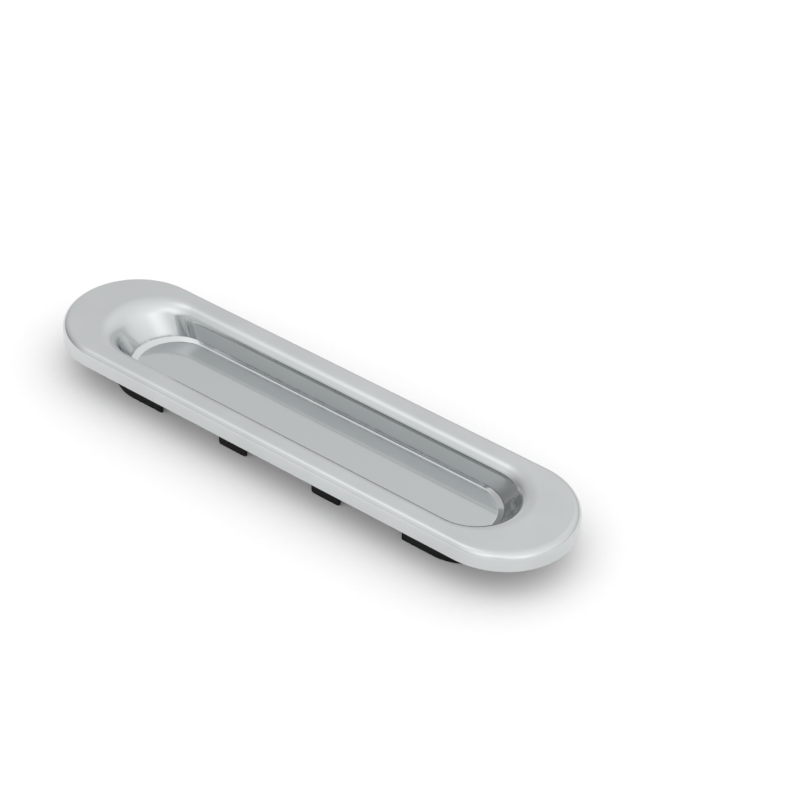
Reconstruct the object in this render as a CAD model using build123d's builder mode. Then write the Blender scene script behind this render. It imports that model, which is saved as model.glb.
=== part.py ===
# Flush finger pull for a sliding door: a bright cover with a dished recess over a black moulded frame.
# The origin is at the centre of the door's surface, X runs along the handle and Z points out of the door.
import os
from math import hypot, sqrt

from build123d import *

# Cover plate
plate_length = 153.0
plate_width = 37.8
rim_height = 4.9
skirt_draft = 2.5
edge_radius = 2.0
skin = 0.7

# Finger recess, its lands measured from the plate's foot to the sharp corner that the lip rolls over
land_end = 14.65
land_side = 7.55
lip_radius = 3.5
recess_depth = 8.7
end_lean = 6.35
side_lean = 0.35
bevel_height = 0.9
bevel_end = 1.0
bevel_side = 0.3

# Moulded frame
flange_thickness = 2.4
flange_clearance = 0.4
cup_clearance = 0.3
wall_thickness = 1.1
wall_lean_end = 2.0
wall_lean_side = 0.45
wall_depth = 5.4
lug_depth = 8.7
lug_near = 10.3
lug_far = 19.2
end_lug_start = 37.9
lug_corner_radius = 1.0
notch_corner_radius = 0.7
lug_edge_chamfer = 0.4
rib_inset = 2.2
rib_thickness = 1.0

# Screw holes under the end lands, for a countersunk wood screw
screw_hole_diameter = 4.0
screw_head_diameter = 7.4
countersink_angle = 90.0

# Levels and slopes that follow from the sizes above
floor_level = rim_height - recess_depth
bevel_level = floor_level + bevel_height
land_underside = rim_height - skin
mouth_length = plate_length - 2 * land_end
mouth_width = plate_width - 2 * land_side
end_slope = end_lean / recess_depth
side_slope = side_lean / recess_depth
end_skin = skin * hypot(1, end_slope)
side_skin = skin * hypot(1, side_slope)

# Leg of a flat cut that touches a round of radius 1 in a square corner
flat_cut = 2 - sqrt(2)


def recess_section(level):
    """Level, length and width of the recess where its leaning walls pass a level."""
    depth = rim_height - level
    return level, mouth_length - 2 * end_slope * depth, mouth_width - 2 * side_slope * depth


def behind(level, length, width):
    """Section of the back of the sheet, one skin outside a section of the recess."""
    return level, length + 2 * end_skin, width + 2 * side_skin


def dished_body(sections):
    """Body with flat sides and leaning round ends through slot sections of level, length and width."""
    profile = [(width / 2, level) for level, length, width in sections]
    reach = [((length - width) / 2, level) for level, length, width in sections]
    with BuildPart() as body:
        with BuildSketch(Plane.YZ):
            Polygon(*profile, *[(-y, z) for y, z in reversed(profile)], align=None)
        extrude(amount=mouth_length, both=True)
        with BuildSketch(Plane.XZ):
            Polygon(*reach, *[(-x, z) for x, z in reversed(reach)], align=None)
        extrude(amount=mouth_width, both=True, mode=Mode.INTERSECT)
        for turn in (0, 180):
            for lower, upper in zip(sections, sections[1:]):
                for level, length, width in (lower, upper):
                    with BuildSketch(Plane.XY.offset(level).rotated((0, 0, turn))):
                        with Locations(Location(((length - width) / 2, 0), -90)):
                            Circle(width / 2, arc_size=180, align=None)
                loft(ruled=True)
    return body.part


def wall_body(length, width):
    """Body that leans in from a slot on the door's surface to the lower edge of the lugs."""
    foot = -lug_depth, length - 2 * wall_lean_end, width - 2 * wall_lean_side
    return dished_body([foot, (0, length, width)])


# Recess: flat floor, bevelled band and drafted walls, with the sheet one skin thick behind them
floor_length = mouth_length - 2 * (end_lean + bevel_end)
floor_width = mouth_width - 2 * (side_lean + bevel_side)
recess_front = dished_body([
    (floor_level, floor_length, floor_width),
    recess_section(bevel_level),
    recess_section(rim_height),
])
recess_back = dished_body([
    behind(floor_level - skin, floor_length, floor_width),
    behind(*recess_section(bevel_level - skin)),
    behind(*recess_section(land_underside)),
])

# Pressed cover: skirted plate, hollow behind, with the recess drawn into it
with BuildPart() as face_cover:
    with BuildSketch(Plane.XY):
        SlotOverall(plate_length, plate_width)
    extrude(amount=rim_height, taper=skirt_draft)
    fillet(face_cover.edges().group_by(Axis.Z)[-1], edge_radius)

    # Hollow behind the plate, its inner corner cut flat behind the rounded edge
    with BuildSketch(Plane.XY):
        SlotOverall(plate_length - 2 * skin, plate_width - 2 * skin)
    extrude(amount=land_underside, taper=skirt_draft, mode=Mode.SUBTRACT)
    underside = face_cover.faces().filter_by(Axis.Z).sort_by(Axis.Z)[-2]
    chamfer(underside.edges(), (edge_radius - skin) * flat_cut)

    # Recess, its root cut flat behind the lip
    add(recess_back)
    underside = face_cover.faces().filter_by(Axis.Z).sort_by(Axis.Z)[-2]
    chamfer(underside.inner_wires()[0].edges(), (lip_radius - skin) * flat_cut)
    add(recess_front, mode=Mode.SUBTRACT)

    # Rolled lip
    land = face_cover.faces().sort_by(Axis.Z)[-1]
    fillet(land.inner_wires()[0].edges(), lip_radius)

# Moulded frame: flange on the door, wall round the recess with lugs along its lower edge
with BuildPart() as back_frame:
    flange_inset = skin + flange_clearance
    level, cup_length, cup_width = behind(*recess_section(flange_thickness))
    opening_length = cup_length + 2 * cup_clearance
    opening_width = cup_width + 2 * cup_clearance
    body_length = opening_length + 2 * wall_thickness
    body_width = opening_width + 2 * wall_thickness

    with BuildSketch(Plane.XY):
        SlotOverall(plate_length - 2 * flange_inset, plate_width - 2 * flange_inset)
        SlotOverall(opening_length, opening_width, mode=Mode.SUBTRACT)
    extrude(amount=flange_thickness)

    # Wall that drops into the door's slot, leaning in with the recess
    add(wall_body(body_length, body_width))
    add(wall_body(opening_length, opening_width), mode=Mode.SUBTRACT)

    # Notches that leave lugs along both long sides
    notch_height = lug_depth - wall_depth
    lug_length = lug_far - lug_near
    lug_centre = (lug_far + lug_near) / 2
    with BuildSketch(Plane.XZ):
        with Locations((0, -wall_depth)):
            Rectangle(2 * end_lug_start, 2 * notch_height, align=(Align.CENTER, Align.MAX))
            with Locations((lug_centre, 0), (-lug_centre, 0)):
                Rectangle(lug_length, notch_height, align=(Align.CENTER, Align.MAX), mode=Mode.SUBTRACT)
        fillet(vertices().group_by(Axis.Y)[-1], notch_corner_radius)
        fillet(vertices().group_by(Axis.Y)[1], lug_corner_radius)
    extrude(amount=body_width, both=True, mode=Mode.SUBTRACT)
    chamfer(back_frame.edges().group_by(Axis.Z)[0], lug_edge_chamfer)

    # Rib that the cover's land seats on
    rib_length = plate_length - 2 * rib_inset
    rib_width = plate_width - 2 * rib_inset
    with BuildSketch(Plane.XY.offset(flange_thickness)):
        SlotOverall(rib_length, rib_width)
        SlotOverall(rib_length - 2 * rib_thickness, rib_width - 2 * rib_thickness, mode=Mode.SUBTRACT)
    extrude(amount=land_underside - flange_thickness)

    # Screw holes, midway between the wall and the rib at each end
    screw_spacing = (body_length + rib_length) / 2 - rib_thickness
    with Locations(Plane.XY.offset(flange_thickness)):
        with GridLocations(screw_spacing, 0, 2, 1):
            CounterSinkHole(screw_hole_diameter / 2, screw_head_diameter / 2, counter_sink_angle=countersink_angle)

face_cover.part.label = "face_cover"
back_frame.part.label = "back_frame"
os.makedirs("parts", exist_ok=True)
export_step(face_cover.part, "parts/face_cover.step")
export_step(back_frame.part, "parts/back_frame.step")
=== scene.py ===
# Looks of a flush finger pull: a bright plated cover over a black moulded frame, on a white studio floor.
from math import cos, hypot, radians, sin, tan

import bpy
from mathutils import Matrix, Vector


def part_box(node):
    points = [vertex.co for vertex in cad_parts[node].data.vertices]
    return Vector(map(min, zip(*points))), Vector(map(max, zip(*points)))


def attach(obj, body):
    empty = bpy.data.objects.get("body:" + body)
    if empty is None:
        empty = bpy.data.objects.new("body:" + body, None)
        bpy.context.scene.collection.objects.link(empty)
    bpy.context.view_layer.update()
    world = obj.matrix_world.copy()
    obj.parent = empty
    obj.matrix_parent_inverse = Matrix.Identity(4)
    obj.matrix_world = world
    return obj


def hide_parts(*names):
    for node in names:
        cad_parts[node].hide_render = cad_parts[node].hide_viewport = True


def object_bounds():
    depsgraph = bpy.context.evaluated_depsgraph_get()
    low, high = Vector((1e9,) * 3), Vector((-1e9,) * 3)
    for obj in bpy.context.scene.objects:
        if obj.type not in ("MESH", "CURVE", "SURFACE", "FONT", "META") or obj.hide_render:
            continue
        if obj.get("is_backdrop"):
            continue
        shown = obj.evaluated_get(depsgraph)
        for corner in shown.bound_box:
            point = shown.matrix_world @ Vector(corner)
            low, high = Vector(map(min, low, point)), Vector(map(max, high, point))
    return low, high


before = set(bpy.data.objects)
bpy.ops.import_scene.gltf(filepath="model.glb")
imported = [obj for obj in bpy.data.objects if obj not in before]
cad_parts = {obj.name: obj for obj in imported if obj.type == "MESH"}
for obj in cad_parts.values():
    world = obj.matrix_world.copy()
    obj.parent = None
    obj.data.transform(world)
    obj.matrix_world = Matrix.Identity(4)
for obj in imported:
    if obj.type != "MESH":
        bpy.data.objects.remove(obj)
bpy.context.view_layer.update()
MM = 0.001

# Sizes of the cover in millimetres: the box of its solid gives the plate, the rest repeats its source
cover_low, cover_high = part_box("face_cover")
plate_length = (cover_high.x - cover_low.x) / MM
plate_width = (cover_high.y - cover_low.y) / MM
rim_height = cover_high.z / MM
skirt_draft = radians(2.5)
edge_radius = 2.0
skin = 0.7
land_end = 14.65
land_side = 7.55
lip_radius = 3.5
recess_depth = 8.7
end_lean = 6.35
side_lean = 0.35
bevel_height = 0.9
bevel_end = 1.0
bevel_side = 0.3

# Rounds that are softer than on the solid: the lip at the ends, the creases of the recess and the cut edge
end_lip_round = 6.0
crease_round = 0.3
bevel_round = 0.35
cut_edge_round = 0.15

# Fineness of the shell: steps in a quarter of its outline and in a roll, and the gap welded shut, in mm
outline_steps = 56
roll_steps = 14
weld_gap = 0.002

# Marks on the chrome plate: how far across and how deep, in millimetres
streak_width = 0.6
streak_length = 30.0
streak_depth = 0.0005
cloud_size = 16.0
peel_size = 9.0
peel_depth = 0.015
# Size of the patches in the painted shade at the wall's foot
crease_shade_size = 2.5
pinhole_spacing = 9.0
pinhole_radius = 0.144
pinhole_depth = 0.04

# Share of the places for a pinhole that have one
pinhole_share = 0.12

# How sharply the painted shade at the wall's foot and the band's painted highlight stop, and what clouds,
# the duller foot and no buffing add to the roughness
crease_shade_sharpness = 20.0
band_sharpness = 60.0
cloud_dullness = 0.03
crease_dullness = 0.3
unbuffed_dullness = 0.28

# Marks on the black plastic in millimetres, and what its flow marks add to the roughness
grain_width = 0.35
grain_depth = 0.012
flow_size = 7.0
flow_dullness = 0.06

# Paper floor in millimetres, and the light of its own that makes it white to the eye
floor_reach = 3000.0
fibre_size = 1.5
floor_lift = 0.04

# Limits between which most values of a noise lie
noise_low = 0.3
noise_high = 0.7

# Camera in degrees and millimetres, aimed at a point on the plane of the rim
view_azimuth = 36.0
view_elevation = 37.3
view_roll = 2.6
view_distance = 642.4
view_aim = (14.8, 16.15)
lens_length = 117.5
sensor_width = 36.0
nearest_seen = 10.0

# Light tent: its glow, its gain towards the top, and its dark hem, placed by the sine of the elevation
tent_glow = 0.52
tent_rise = 0.23
hem_shade = 0.15
hem_level = 0.17
hem_width = 0.08

# Lamps and flags outside the tent: strength, azimuth from the far side to the right, elevation, focus
soft_panels = {
    "right wall": (0.65, 90, 10, 0.75),
    "front panel": (0.55, 160, 25, 8),
    "key lamp": (0.45, -135, 60, 25),
    "side lamp": (0.3, 110, 20, 30),
    "far panel": (0.15, -10, 35, 12),
    "front left panel": (0.2, -150, 10, 12),
    "far left panel": (0.3, -50, 0, 20),
    "camera's shade": (-0.4, 150, 20, 30),
    "left shade": (-0.2, -105, 10, 12),
    "far shade": (-0.1, 20, 20, 1.5),
}


def put(tree, kind, sockets=None, **settings):
    """Adds a node with its settings, and fills its inputs with values or with links from other sockets."""
    node = tree.nodes.new(kind)
    for name, value in settings.items():
        setattr(node, name, value)
    for key, value in (sockets or {}).items():
        if isinstance(value, bpy.types.NodeSocket):
            tree.links.new(value, node.inputs[key])
        else:
            node.inputs[key].default_value = value
    return node


def linear(hex_colour):
    """Linear RGBA of an sRGB hex colour."""
    shares = [int(hex_colour[i:i + 2], 16) / 255 for i in (1, 3, 5)]
    return (*[s / 12.92 if s <= 0.04045 else ((s + 0.055) / 1.055) ** 2.4 for s in shares], 1.0)


def section_corners():
    """Sharp corners of the sheet's section, from the middle of the recess floor round to its back.

    Each is half the length, half the width and the level of the slot-shaped ring there, with its rounds at
    the ends and along the sides, in millimetres.
    """
    end_slope = end_lean / recess_depth
    side_slope = side_lean / recess_depth
    end_skin = skin * hypot(1, end_slope)
    side_skin = skin * hypot(1, side_slope)
    floor_level = rim_height - recess_depth
    floor_end = plate_length / 2 - land_end - end_lean - bevel_end
    floor_side = plate_width / 2 - land_side - side_lean - bevel_side

    def wall(level, behind=0):
        depth = rim_height - level
        end = plate_length / 2 - land_end - end_slope * depth + behind * end_skin
        return end, plate_width / 2 - land_side - side_slope * depth + behind * side_skin, level

    def skirt(level, inset=0):
        drawn_in = inset + level * tan(skirt_draft)
        return plate_length / 2 - drawn_in, plate_width / 2 - drawn_in, level

    return [
        (floor_end - floor_side, 0, floor_level, 0, 0),
        (floor_end, floor_side, floor_level, crease_round, crease_round),
        (*wall(floor_level + bevel_height), bevel_round, bevel_round),
        (*wall(rim_height), end_lip_round, lip_radius),
        (*skirt(rim_height), edge_radius, edge_radius),
        (*skirt(0), cut_edge_round, cut_edge_round),
        (*skirt(0, skin), cut_edge_round, cut_edge_round),
        (*skirt(rim_height - skin, skin), edge_radius - skin, edge_radius - skin),
        (*wall(rim_height - skin, 1), end_lip_round - skin, lip_radius - skin),
        (*wall(floor_level + bevel_height - skin, 1), bevel_round, bevel_round),
        (floor_end + end_skin, floor_side + side_skin, floor_level - skin, crease_round, crease_round),
        (floor_end + end_skin - floor_side - side_skin, 0, floor_level - skin, 0, 0),
    ]


def cover_shell_tree(marks):
    """Geometry nodes that turn a section into a slot-shaped shell.

    The section's rounds are rolled twice, as seen at the ends and at the sides, and each ring of the shell
    runs between those two profiles: straight along the sides and round each end.
    """
    tree = bpy.data.node_groups.new("cover_shell", "GeometryNodeTree")
    for name, kind in (("Section", "Geometry"), ("Outline Steps", "Int"), ("Roll Steps", "Int"),
                       ("Weld Distance", "Float"), ("Finish", "Material")):
        tree.interface.new_socket(name, in_out="INPUT", socket_type="NodeSocket" + kind)
    tree.interface.new_socket("Shell", in_out="OUTPUT", socket_type="NodeSocketGeometry")
    given = put(tree, "NodeGroupInput").outputs

    # Rolled profiles
    chain = put(tree, "GeometryNodeMeshToCurve", {"Mesh": given["Section"]})
    place = put(tree, "GeometryNodeInputPosition")
    profiles = []
    for facing, name in (((1, 0, 1), "end roll"), ((0, 1, 1), "side roll")):
        roll = put(tree, "GeometryNodeInputNamedAttribute", {"Name": name}, data_type="FLOAT")
        flat = put(tree, "ShaderNodeVectorMath", {0: place.outputs[0], 1: facing}, operation="MULTIPLY")
        turned = put(tree, "GeometryNodeSetPosition", {
            "Geometry": chain.outputs[0], "Position": flat.outputs[0]})
        profiles.append(put(tree, "GeometryNodeFilletCurve", {
            "Curve": turned.outputs[0], "Count": given["Roll Steps"], "Radius": roll.outputs[0]},
            mode="POLY"))

    # Grid: a row for each point of the profiles, and a column for each step of four quarters and the last one
    rows = put(tree, "GeometryNodeAttributeDomainSize", {0: profiles[0].outputs[0]}, component="CURVE")
    columns = put(tree, "ShaderNodeMath", {
        0: given["Outline Steps"], 1: 4.0, 2: 1.0}, operation="MULTIPLY_ADD")
    grid = put(tree, "GeometryNodeMeshGrid", {
        "Vertices X": columns.outputs[0], "Vertices Y": rows.outputs[0]})
    index = put(tree, "GeometryNodeInputIndex")
    row = put(tree, "ShaderNodeMath", {0: index.outputs[0], 1: rows.outputs[0]}, operation="MODULO")
    share = put(tree, "ShaderNodeMath", {0: index.outputs[0], 1: rows.outputs[0]}, operation="DIVIDE")
    column = put(tree, "ShaderNodeMath", {0: share.outputs[0]}, operation="FLOOR")
    quarter = put(tree, "ShaderNodeMath", {
        0: column.outputs[0], 1: given["Outline Steps"]}, operation="DIVIDE")
    ring = []
    for profile in profiles:
        sample = put(tree, "GeometryNodeSampleIndex", {
            "Geometry": profile.outputs[0], "Value": place.outputs[0], "Index": row.outputs[0]},
            data_type="FLOAT_VECTOR", domain="POINT")
        ring.append(put(tree, "ShaderNodeSeparateXYZ", {0: sample.outputs[0]}))

    # Way round the slot in four quarters: one end, one side, the other end, the other side
    angle_start = put(tree, "ShaderNodeMapRange", {
        "Value": quarter.outputs[0], "From Min": 0.0, "From Max": 1.0,
        "To Min": radians(-90), "To Max": radians(90)})
    slide_start = put(tree, "ShaderNodeMapRange", {
        "Value": quarter.outputs[0], "From Min": 1.0, "From Max": 2.0, "To Min": 1.0, "To Max": -1.0})
    angle_more = put(tree, "ShaderNodeMapRange", {
        "Value": quarter.outputs[0], "From Min": 2.0, "From Max": 3.0, "To Min": 0.0, "To Max": radians(180)})
    slide_more = put(tree, "ShaderNodeMapRange", {
        "Value": quarter.outputs[0], "From Min": 3.0, "From Max": 4.0, "To Min": 0.0, "To Max": 2.0})
    angle = put(tree, "ShaderNodeMath", {
        0: angle_start.outputs[0], 1: angle_more.outputs[0]}, operation="ADD")
    slide = put(tree, "ShaderNodeMath", {
        0: slide_start.outputs[0], 1: slide_more.outputs[0]}, operation="ADD")
    along = put(tree, "ShaderNodeMath", {0: angle.outputs[0]}, operation="COSINE")
    across = put(tree, "ShaderNodeMath", {0: angle.outputs[0]}, operation="SINE")

    # Place of each point: the end's centre, the ring's radius there, and a level between the two profiles
    end, side = ring
    reach = put(tree, "ShaderNodeMath", {0: end.outputs["X"], 1: side.outputs["Y"]}, operation="SUBTRACT")
    centre = put(tree, "ShaderNodeMath", {0: reach.outputs[0], 1: slide.outputs[0]}, operation="MULTIPLY")
    x = put(tree, "ShaderNodeMath", {
        0: side.outputs["Y"], 1: along.outputs[0], 2: centre.outputs[0]}, operation="MULTIPLY_ADD")
    y = put(tree, "ShaderNodeMath", {0: side.outputs["Y"], 1: across.outputs[0]}, operation="MULTIPLY")
    endwise = put(tree, "ShaderNodeMath", {0: along.outputs[0]}, operation="ABSOLUTE")
    z = put(tree, "ShaderNodeMix", {
        "Factor": endwise.outputs[0], "A": side.outputs["Z"], "B": end.outputs["Z"]}, data_type="FLOAT")
    spot = put(tree, "ShaderNodeCombineXYZ", {"X": x.outputs[0], "Y": y.outputs[0], "Z": z.outputs[0]})
    shaped = put(tree, "GeometryNodeSetPosition", {
        "Geometry": grid.outputs[0], "Position": spot.outputs[0]})

    # Marks of the section carried onto the shell, for its finish
    for mark in marks:
        named = put(tree, "GeometryNodeInputNamedAttribute", {"Name": mark}, data_type="FLOAT")
        sample = put(tree, "GeometryNodeSampleIndex", {
            "Geometry": profiles[0].outputs[0], "Value": named.outputs[0], "Index": row.outputs[0]},
            data_type="FLOAT", domain="POINT")
        shaped = put(tree, "GeometryNodeStoreNamedAttribute", {
            "Geometry": shaped.outputs[0], "Name": mark, "Value": sample.outputs[0]},
            data_type="FLOAT", domain="POINT")

    # Closed at the seam and along the middle of the floor, with its faces turned outwards
    welded = put(tree, "GeometryNodeMergeByDistance", {
        "Geometry": shaped.outputs[0], "Distance": given["Weld Distance"]})
    outward = put(tree, "GeometryNodeFlipFaces", {"Mesh": welded.outputs[0]})
    smooth = put(tree, "GeometryNodeSetShadeSmooth", {"Geometry": outward.outputs[0]})
    real = put(tree, "GeometryNodeRealizeInstances", {"Geometry": smooth.outputs[0]})
    finished = put(tree, "GeometryNodeSetMaterial", {
        "Geometry": real.outputs[0], "Material": given["Finish"]})
    put(tree, "NodeGroupOutput", {"Shell": finished.outputs[0]})
    return tree


def plated_cover(finish):
    """The cover as a fine smooth shell in the place of its solid."""
    corners = section_corners()
    mesh = bpy.data.meshes.new("cover_section")
    points = [Vector(corner[:3]) * MM for corner in corners]
    mesh.from_pydata(points, [(i, i + 1) for i in range(len(points) - 1)], [])

    # Corners counted from the middle of the floor: its edge, the wall's foot and the first one behind
    floor_edge = 1
    wall_foot = 2
    first_behind = 6
    rolls = {
        "end roll": [corner[3] * MM for corner in corners],
        "side roll": [corner[4] * MM for corner in corners],
    }
    # Marks for the finish: crease and recess carry painted shade, band a painted highlight
    marks = {
        "crease": [float(i == wall_foot) for i in range(len(corners))],
        "recess": [float(i <= wall_foot) for i in range(len(corners))],
        "band": [float(floor_edge <= i <= wall_foot) for i in range(len(corners))],
        "behind": [float(i >= first_behind) for i in range(len(corners))],
    }
    for name, values in {**rolls, **marks}.items():
        mesh.attributes.new(name, "FLOAT", "POINT").data.foreach_set("value", values)
    cover = bpy.data.objects.new("plated_cover", mesh)
    bpy.context.scene.collection.objects.link(cover)

    modifier = cover.modifiers.new("shell", "NODES")
    modifier.node_group = cover_shell_tree(marks)
    inputs = {
        "Outline Steps": outline_steps,
        "Roll Steps": roll_steps,
        "Weld Distance": weld_gap * MM,
        "Finish": finish,
    }
    for item in modifier.node_group.interface.items_tree:
        if item.name in inputs:
            modifier[item.identifier] = inputs[item.name]
    evaluated = cover.evaluated_get(bpy.context.evaluated_depsgraph_get())
    shell = bpy.data.meshes.new_from_object(evaluated)
    cover.modifiers.remove(modifier)
    cover.data = shell
    cover.modifiers.new("flat_lands", "WEIGHTED_NORMAL").keep_sharp = True
    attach(cover, "root")
    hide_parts("face_cover")


def material(name):
    """New material with its tree, its principled shader and its object coordinates."""
    made = bpy.data.materials.new(name)
    made.use_nodes = True
    tree = made.node_tree
    tree.nodes.clear()
    shader = put(tree, "ShaderNodeBsdfPrincipled")
    put(tree, "ShaderNodeOutputMaterial", {"Surface": shader.outputs[0]})
    return made, tree, shader, put(tree, "ShaderNodeTexCoord").outputs["Object"]


def per(size):
    """Texture scale whose features are a size in millimetres across."""
    return 1 / (size * MM)


def bright_chrome_plate():
    """Chromium over nickel on a pressed cover, buffed on a soft wheel.

    The eye gets a near mirror that is a little soft and a little wavy: the sheet's orange peel bends what it
    reflects, and the wheel leaves faint streaks along the handle. The recess is painted a shade darker, as
    painted shade on its floor that fades up its walls; a paler band round its floor is a painted highlight,
    and a dark, duller line at its wall's foot is painted shade.
    The side towards the door is plated but never buffed.
    """
    made, tree, shader, place = material("bright_chrome_plate")
    crease = put(tree, "ShaderNodeAttribute", attribute_name="crease").outputs["Fac"]
    recess = put(tree, "ShaderNodeAttribute", attribute_name="recess").outputs["Fac"]
    band = put(tree, "ShaderNodeAttribute", attribute_name="band").outputs["Fac"]
    behind = put(tree, "ShaderNodeAttribute", attribute_name="behind").outputs["Fac"]

    # Streaks of the wheel, in truth hair-fine and drawn wider so that they show, and slow clouds in the plate
    drawn = put(tree, "ShaderNodeMapping", {
        "Vector": place, "Scale": (streak_width / streak_length, 1.0, 1.0)}, vector_type="POINT")
    streak = put(tree, "ShaderNodeTexNoise", {
        "Vector": drawn.outputs[0], "Scale": per(streak_width),
        "Detail": 3.0, "Roughness": 0.6}).outputs["Fac"]
    cloud = put(tree, "ShaderNodeTexNoise", {
        "Vector": place, "Scale": per(cloud_size), "Detail": 3.0, "Roughness": 0.55}).outputs["Fac"]
    cloudy = put(tree, "ShaderNodeMapRange", {
        "Value": cloud, "From Min": noise_low, "From Max": noise_high}).outputs[0]

    # Painted shade along the wall's foot, broken up into patches; the foot is also duller there
    patchy = put(tree, "ShaderNodeTexNoise", {
        "Vector": place, "Scale": per(crease_shade_size), "Detail": 2.0}).outputs["Fac"]
    broken = put(tree, "ShaderNodeMapRange", {
        "Value": patchy, "From Min": 0.35, "From Max": 0.65, "To Min": 0.3, "To Max": 0.9}).outputs[0]
    narrow = put(tree, "ShaderNodeMath", {0: crease, 1: crease_shade_sharpness}, operation="POWER").outputs[0]
    crease_shade = put(tree, "ShaderNodeMath", {0: narrow, 1: broken}, operation="MULTIPLY").outputs[0]

    # Colour: buffed plate, painted recess shade and band highlight, painted shade at the foot, hidden side
    plate = put(tree, "ShaderNodeMix", {
        "Factor": cloudy, "A": linear("#C7CACA"), "B": linear("#CDD0D0")}, data_type="RGBA").outputs["Result"]
    # Painted shade: the recess floor a shade darker, fading up its walls
    with_recess_shade = put(tree, "ShaderNodeMix", {
        "Factor": recess, "A": plate, "B": linear("#C2C5C6")}, data_type="RGBA").outputs["Result"]
    # Painted highlight: a paler band on the bevel round the recess floor
    on_band = put(tree, "ShaderNodeMath", {0: band, 1: band_sharpness}, operation="POWER").outputs[0]
    with_band_highlight = put(tree, "ShaderNodeMix", {
        "Factor": on_band, "A": with_recess_shade, "B": linear("#CED1D1")}, data_type="RGBA").outputs["Result"]
    # Painted shade: a dark line at the wall's foot
    with_crease_shade = put(tree, "ShaderNodeMix", {
        "Factor": crease_shade, "A": with_band_highlight, "B": linear("#8C8E8F")}, data_type="RGBA").outputs["Result"]
    tone = put(tree, "ShaderNodeMix", {
        "Factor": behind, "A": with_crease_shade, "B": linear("#A9ABAC")}, data_type="RGBA").outputs["Result"]
    tree.links.new(tone, shader.inputs["Base Color"])
    shader.inputs["Metallic"].default_value = 1.0

    # Gloss: streaks and clouds on the buffed face, duller at the wall's foot and dull behind
    lines = put(tree, "ShaderNodeMapRange", {
        "Value": streak, "From Min": noise_low, "From Max": noise_high,
        "To Min": 0.05, "To Max": 0.1}).outputs[0]
    buffed = put(tree, "ShaderNodeMath", {
        0: cloudy, 1: cloud_dullness, 2: lines}, operation="MULTIPLY_ADD").outputs[0]
    crease_dulled = put(tree, "ShaderNodeMath", {
        0: crease_shade, 1: crease_dullness, 2: buffed}, operation="MULTIPLY_ADD").outputs[0]
    rough = put(tree, "ShaderNodeMath", {
        0: behind, 1: unbuffed_dullness, 2: crease_dulled}, operation="MULTIPLY_ADD").outputs[0]
    tree.links.new(rough, shader.inputs["Roughness"])

    # Relief: orange peel, then the streaks, then pinholes in a few cells picked by their colour
    peel = put(tree, "ShaderNodeTexNoise", {
        "Vector": place, "Scale": per(peel_size), "Detail": 1.0, "Roughness": 0.4}).outputs["Fac"]
    wavy = put(tree, "ShaderNodeBump", {"Height": peel, "Distance": peel_depth * MM}).outputs[0]
    lined = put(tree, "ShaderNodeBump", {
        "Height": streak, "Distance": streak_depth * MM, "Normal": wavy}).outputs[0]
    cell = put(tree, "ShaderNodeTexVoronoi", {"Vector": place, "Scale": per(pinhole_spacing)}).outputs
    red = put(tree, "ShaderNodeSeparateColor", {0: cell["Color"]}).outputs[0]
    picked = put(tree, "ShaderNodeMath", {0: red, 1: pinhole_share}, operation="LESS_THAN").outputs[0]
    dip = put(tree, "ShaderNodeMapRange", {
        "Value": cell["Distance"], "From Min": 0.0, "From Max": pinhole_radius / pinhole_spacing,
        "To Min": -1.0, "To Max": 0.0}).outputs[0]
    pinhole = put(tree, "ShaderNodeMath", {0: dip, 1: picked}, operation="MULTIPLY").outputs[0]
    pitted = put(tree, "ShaderNodeBump", {
        "Height": pinhole, "Distance": pinhole_depth * MM, "Normal": lined}).outputs[0]
    tree.links.new(pitted, shader.inputs["Normal"])
    return made


def black_moulded_abs():
    """Black ABS from a spark-eroded mould.

    The eye gets a deep black with a dry sheen: a fine grain breaks the light up, and slow flow marks make one
    patch a shade greyer than the next.
    """
    made, tree, shader, place = material("black_moulded_abs")

    # Grain of the mould, in truth 0.1 mm and drawn wider so that it shows
    grain = put(tree, "ShaderNodeTexNoise", {
        "Vector": place, "Scale": per(grain_width), "Detail": 3.0, "Roughness": 0.6}).outputs["Fac"]
    flow = put(tree, "ShaderNodeTexNoise", {
        "Vector": place, "Scale": per(flow_size), "Detail": 2.0, "Distortion": 0.8}).outputs["Fac"]
    patchy = put(tree, "ShaderNodeMapRange", {
        "Value": flow, "From Min": noise_low, "From Max": noise_high}).outputs[0]
    tone = put(tree, "ShaderNodeMix", {
        "Factor": patchy, "A": linear("#0B0B0C"), "B": linear("#131314")}, data_type="RGBA").outputs["Result"]
    tree.links.new(tone, shader.inputs["Base Color"])
    dry = put(tree, "ShaderNodeMapRange", {
        "Value": grain, "From Min": noise_low, "From Max": noise_high,
        "To Min": 0.46, "To Max": 0.58}).outputs[0]
    rough = put(tree, "ShaderNodeMath", {
        0: patchy, 1: flow_dullness, 2: dry}, operation="MULTIPLY_ADD").outputs[0]
    tree.links.new(rough, shader.inputs["Roughness"])
    shader.inputs["Specular IOR Level"].default_value = 0.2
    bump = put(tree, "ShaderNodeBump", {"Height": grain, "Distance": grain_depth * MM}).outputs[0]
    tree.links.new(bump, shader.inputs["Normal"])
    return made


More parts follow.
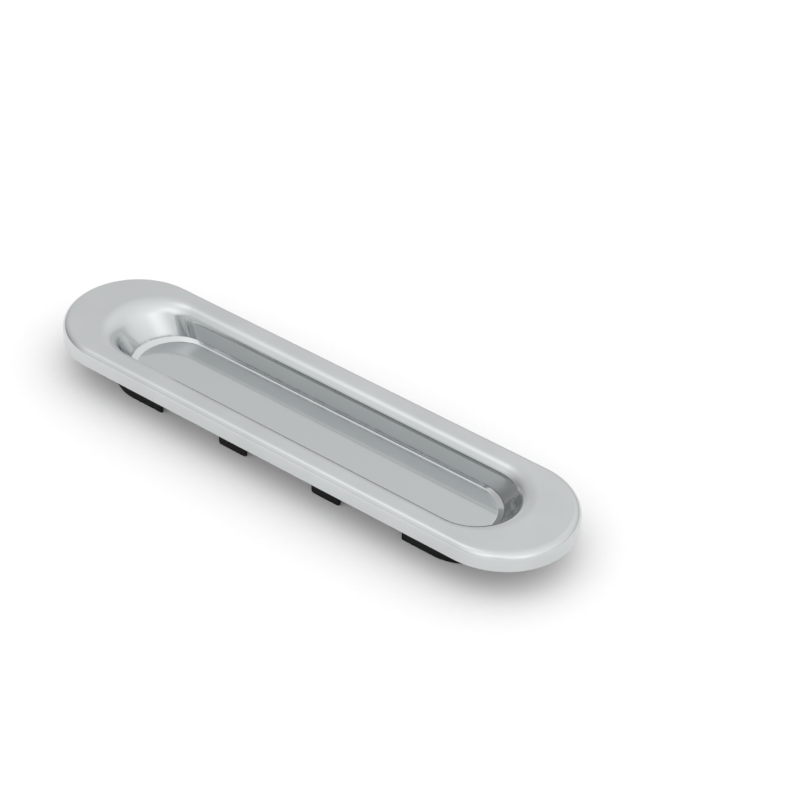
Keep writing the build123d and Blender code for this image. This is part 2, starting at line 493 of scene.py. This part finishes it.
def white_paper():
    """Matt white background paper.

    The eye gets an even white that keeps a soft shadow: the fibres are only just there.
    """
    made, tree, shader, place = material("white_paper_floor")
    fibre = put(tree, "ShaderNodeTexNoise", {
        "Vector": place, "Scale": per(fibre_size), "Detail": 4.0}).outputs["Fac"]
    tone = put(tree, "ShaderNodeMix", {
        "Factor": fibre, "A": linear("#F6F6F6"), "B": linear("#FAFAFA")}, data_type="RGBA").outputs["Result"]
    tree.links.new(tone, shader.inputs["Base Color"])
    shader.inputs["Roughness"].default_value = 1.0
    shader.inputs["Specular IOR Level"].default_value = 0.0

    # Lift to white where it is seen, straight or in the chrome, with no more light on the handle
    ray = put(tree, "ShaderNodeLightPath").outputs
    seen = ray["Is Camera Ray"]
    for way in ("Is Glossy Ray", "Is Transmission Ray"):
        seen = put(tree, "ShaderNodeMath", {0: seen, 1: ray[way]}, operation="MAXIMUM").outputs[0]
    lift = put(tree, "ShaderNodeMath", {0: seen, 1: floor_lift}, operation="MULTIPLY").outputs[0]
    shader.inputs["Emission Color"].default_value = linear("#FFFFFF")
    tree.links.new(lift, shader.inputs["Emission Strength"])
    return made


def paper_floor(finish):
    """Sheet of paper that the handle lies on."""
    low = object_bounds()[0]
    reach = floor_reach * MM
    corners = [(x * reach, y * reach, low.z) for x, y in ((-1, -1), (1, -1), (1, 1), (-1, 1))]
    mesh = bpy.data.meshes.new("floor")
    mesh.from_pydata(corners, [], [(0, 1, 2, 3)])
    mesh.materials.append(finish)
    floor = bpy.data.objects.new("floor", mesh)
    bpy.context.scene.collection.objects.link(floor)
    floor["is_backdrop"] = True


def tent_light(tree):
    """Strength of the tent in every direction, with the lamps and flags behind it and its dark hem."""
    way = put(tree, "ShaderNodeTexCoord").outputs["Generated"]
    height = put(tree, "ShaderNodeSeparateXYZ", {0: way}).outputs["Z"]
    upward = put(tree, "ShaderNodeMath", {0: height, 1: 0.0}, operation="MAXIMUM").outputs[0]
    total = put(tree, "ShaderNodeMath", {
        0: upward, 1: tent_rise, 2: tent_glow}, operation="MULTIPLY_ADD").outputs[0]

    # Each lamp or flag fades smoothly with the angle from its axis
    for strength, azimuth, elevation, focus in soft_panels.values():
        side, level = radians(azimuth), radians(elevation)
        axis = (sin(side) * cos(level), cos(side) * cos(level), sin(level))
        facing = put(tree, "ShaderNodeVectorMath", {
            0: way, 1: axis}, operation="DOT_PRODUCT").outputs["Value"]
        away = put(tree, "ShaderNodeMath", {
            0: facing, 1: focus, 2: -focus}, operation="MULTIPLY_ADD").outputs[0]
        fade = put(tree, "ShaderNodeMath", {0: away}, operation="EXPONENT").outputs[0]
        total = put(tree, "ShaderNodeMath", {
            0: fade, 1: strength, 2: total}, operation="MULTIPLY_ADD").outputs[0]

    # Hem: a soft dark band round the tent
    step = put(tree, "ShaderNodeMath", {
        0: height, 1: 1 / hem_width, 2: -hem_level / hem_width}, operation="MULTIPLY_ADD").outputs[0]
    square = put(tree, "ShaderNodeMath", {0: step, 1: 2.0}, operation="POWER").outputs[0]
    minus = put(tree, "ShaderNodeMath", {0: square, 1: -1.0}, operation="MULTIPLY").outputs[0]
    near_hem = put(tree, "ShaderNodeMath", {0: minus}, operation="EXPONENT").outputs[0]
    let_through = put(tree, "ShaderNodeMath", {
        0: near_hem, 1: -hem_shade, 2: 1.0}, operation="MULTIPLY_ADD").outputs[0]
    shaded = put(tree, "ShaderNodeMath", {0: total, 1: let_through}, operation="MULTIPLY").outputs[0]
    return put(tree, "ShaderNodeMath", {0: shaded, 1: 0.0}, operation="MAXIMUM").outputs[0]


def light_tent():
    """World that glows all round as the tent does."""
    world = bpy.data.worlds.new("studio")
    bpy.context.scene.world = world
    world.use_nodes = True
    tree = world.node_tree
    tree.nodes.clear()
    sky = put(tree, "ShaderNodeBackground", {"Color": linear("#FFFFFF"), "Strength": tent_light(tree)})
    put(tree, "ShaderNodeOutputWorld", {"Surface": sky.outputs[0]})


def aimed_camera():
    """Camera on the right of the near side, looking down at the handle."""
    azimuth, elevation = radians(view_azimuth), radians(view_elevation)
    back = Vector((sin(azimuth) * cos(elevation), -cos(azimuth) * cos(elevation), sin(elevation)))
    aim = Vector((*view_aim, rim_height)) * MM
    camera = bpy.data.objects.new("camera", bpy.data.cameras.new("camera"))
    bpy.context.scene.collection.objects.link(camera)
    camera.data.lens = lens_length
    camera.data.sensor_width = sensor_width
    camera.data.clip_start = nearest_seen * MM
    roll = Matrix.Rotation(radians(view_roll), 4, "Z")
    turned = back.to_track_quat("Z", "Y").to_matrix().to_4x4() @ roll
    camera.matrix_world = Matrix.Translation(aim + back * view_distance * MM) @ turned
    bpy.context.scene.camera = camera


bpy.context.scene.view_settings.view_transform = "Standard"

# The recess is a mirror that faces itself, so light is followed through more reflections than usual
bpy.context.scene.cycles.glossy_bounces = 12

plated_cover(bright_chrome_plate())
back_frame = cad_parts["back_frame"]
back_frame.data.materials.clear()
back_frame.data.materials.append(black_moulded_abs())
paper_floor(white_paper())
light_tent()
aimed_camera()
